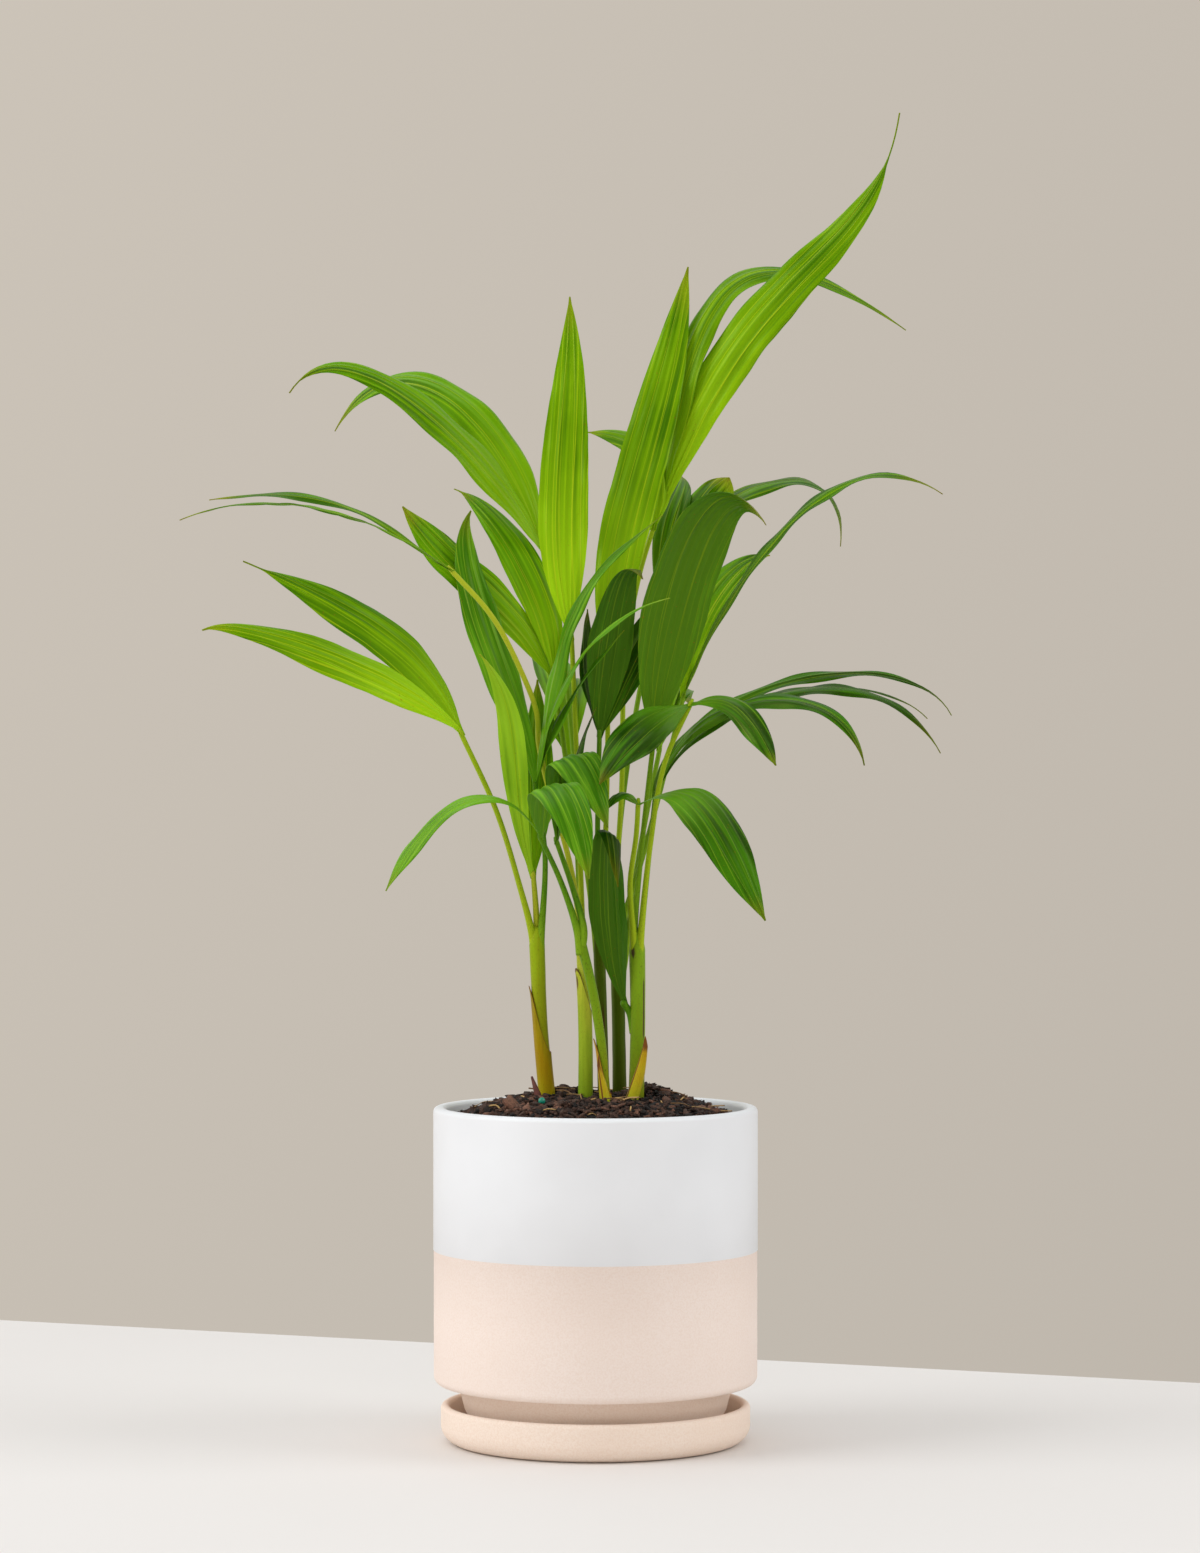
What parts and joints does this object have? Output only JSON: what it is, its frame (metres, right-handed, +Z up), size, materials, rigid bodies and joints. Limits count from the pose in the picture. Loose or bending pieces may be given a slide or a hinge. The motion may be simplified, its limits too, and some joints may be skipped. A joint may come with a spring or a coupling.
{
  "type": "potted areca palm",
  "caption": "Young areca palm: a clump of cane-like stems with broad pleated fronds, in a round two-tone ceramic pot with its saucer.",
  "frame": {"origin": "centre of the flat underside of the saucer, on the pot's axis", "axes": "+Z up along the pot's axis, -Y towards the front of the plant, +X to its right"},
  "size_m": [0.3774, 0.2383, 0.6651],
  "materials": {
    "pot": "white satin glaze above, bare pale peach clay below",
    "saucer": "bare pale peach clay, matte, fine speckle",
    "soil": "moist dark bark mix, rough",
    "cane": "smooth green sheath, satin",
    "sheath": "dry yellow sheath with dark edges",
    "leaf": "pleated green blade, half gloss",
    "leaf_bright": "pleated yellow-green blade, half gloss",
    "leaf_dark": "pleated dark green blade, half gloss"
  },
  "bodies": {
    "root": {"pot": "pot", "saucer": "saucer", "soil": "soil", "stem_left": "cane", "stem_middle": "cane", "stem_front": "cane", "stem_back_left": "cane", "stem_back": "cane", "stem_right": "cane", "stub_right": "sheath", "stub_front": "sheath", "frond_left_fan": "leaf_bright", "frond_left_long": "leaf", "frond_left_high": "leaf", "frond_left_broad": "leaf", "frond_upright": "leaf_bright", "frond_tall": "leaf_bright", "frond_top_right": "leaf_bright", "frond_right_high": "leaf", "frond_right_back": "leaf", "frond_right_broad": "leaf", "frond_right_low": "leaf_dark", "frond_right_arching": "leaf_dark", "frond_front_right": "leaf_dark", "frond_front_left": "leaf_dark", "frond_front_fold": "leaf_dark", "frond_left_narrow": "leaf_dark", "frond_left_bright": "leaf_bright", "frond_shade": "leaf_dark", "frond_low_fold": "leaf_dark", "frond_back_left": "leaf", "frond_back_right": "leaf"}
  },
  "joints": []
}
